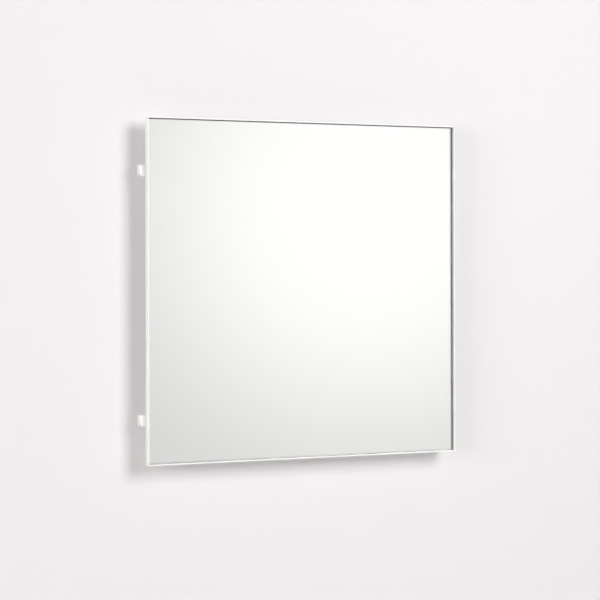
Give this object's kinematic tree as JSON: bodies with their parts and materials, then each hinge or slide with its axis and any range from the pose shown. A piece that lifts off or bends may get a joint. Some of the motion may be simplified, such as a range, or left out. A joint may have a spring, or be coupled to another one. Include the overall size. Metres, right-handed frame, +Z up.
{
  "type": "wall mirror",
  "caption": "Square mirror in a slim white steel frame, with hook brackets at its sides that hang it between slotted wall uprights.",
  "frame": {"origin": "centre of the frame's width and height, in the plane of the uprights' front faces", "axes": "+X to the right as seen by someone who looks into the mirror, +Y from the glass towards the wall, +Z up"},
  "size_m": [0.599, 0.0254, 0.58],
  "materials": {
    "white_powder_coat": "satin white powder coat on folded steel",
    "silvered_glass": "clear float glass silvered on its back",
    "safety_film": "matt grey backing film",
    "foam_tape": "matt closed-cell foam",
    "bare_aluminium": "plain aluminium rivets"
  },
  "bodies": {
    "root": {"bracket_rivet_lower_left_1": "bare_aluminium", "bracket_rivet_lower_left_2": "bare_aluminium", "bracket_rivet_lower_right_1": "bare_aluminium", "bracket_rivet_lower_right_2": "bare_aluminium", "bracket_rivet_upper_left_1": "bare_aluminium", "bracket_rivet_upper_left_2": "bare_aluminium", "bracket_rivet_upper_right_1": "bare_aluminium", "bracket_rivet_upper_right_2": "bare_aluminium", "corner_gusset_bottom_left": "white_powder_coat", "corner_gusset_bottom_right": "white_powder_coat", "corner_gusset_top_left": "white_powder_coat", "corner_gusset_top_right": "white_powder_coat", "frame_rail_bottom": "white_powder_coat", "frame_rail_left": "white_powder_coat", "frame_rail_right": "white_powder_coat", "frame_rail_top": "white_powder_coat", "gusset_rivet_bottom_left_1": "bare_aluminium", "gusset_rivet_bottom_left_2": "bare_aluminium", "gusset_rivet_bottom_left_3": "bare_aluminium", "gusset_rivet_bottom_left_4": "bare_aluminium", "gusset_rivet_bottom_right_1": "bare_aluminium", "gusset_rivet_bottom_right_2": "bare_aluminium", "gusset_rivet_bottom_right_3": "bare_aluminium", "gusset_rivet_bottom_right_4": "bare_aluminium", "gusset_rivet_top_left_1": "bare_aluminium", "gusset_rivet_top_left_2": "bare_aluminium", "gusset_rivet_top_left_3": "bare_aluminium", "gusset_rivet_top_left_4": "bare_aluminium", "gusset_rivet_top_right_1": "bare_aluminium", "gusset_rivet_top_right_2": "bare_aluminium", "gusset_rivet_top_right_3": "bare_aluminium", "gusset_rivet_top_right_4": "bare_aluminium", "hook_bracket_lower_left": "white_powder_coat", "hook_bracket_lower_right": "white_powder_coat", "hook_bracket_upper_left": "white_powder_coat", "hook_bracket_upper_right": "white_powder_coat", "mirror_glass": "silvered_glass", "mounting_tape_bottom": "foam_tape", "mounting_tape_left": "foam_tape", "mounting_tape_right": "foam_tape", "mounting_tape_top": "foam_tape", "safety_film": "safety_film"}
  },
  "joints": []
}
